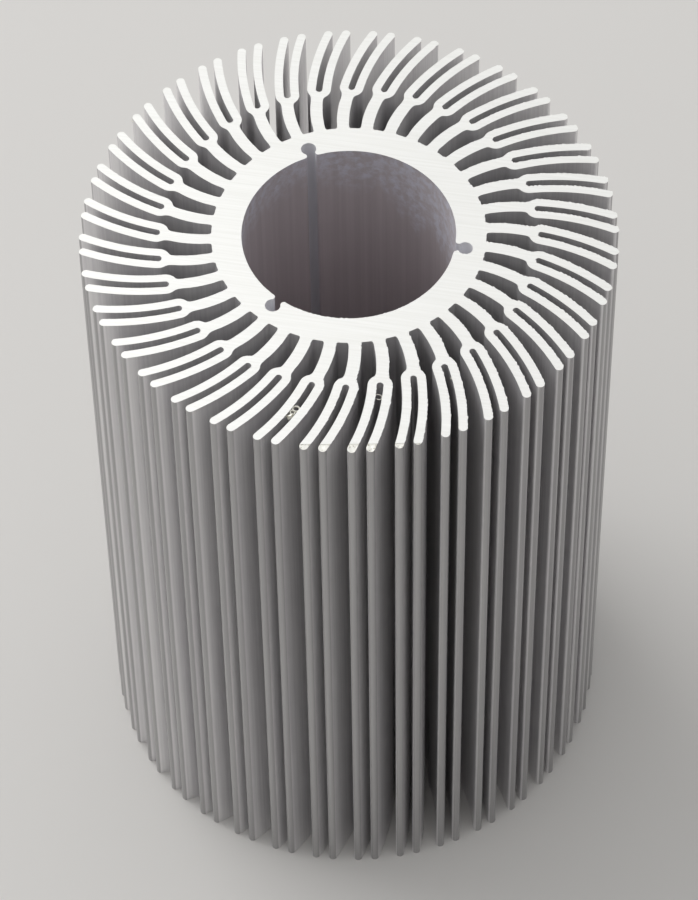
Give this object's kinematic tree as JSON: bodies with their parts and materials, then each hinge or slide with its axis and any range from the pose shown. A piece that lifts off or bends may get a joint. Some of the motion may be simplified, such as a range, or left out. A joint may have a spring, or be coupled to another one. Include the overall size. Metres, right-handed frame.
{
  "type": "extruded heat sink",
  "caption": "Tall round heat sink cut from an aluminium extrusion: a plain bore, a thick tube, curved forked fins all round and keyhole screw ports.",
  "frame": {"origin": "centre of the lower sawn end, on the axis of the bore", "axes": "+Z along the extrusion, from the lower sawn end to the upper one; +X through the middle of the first screw port"},
  "size_m": [0.1006, 0.1006, 0.143],
  "materials": {
    "mill_aluminium": "mill finish as extruded, with saw-cut ends"
  },
  "bodies": {
    "root": {"heat_sink": "mill_aluminium"}
  },
  "joints": []
}
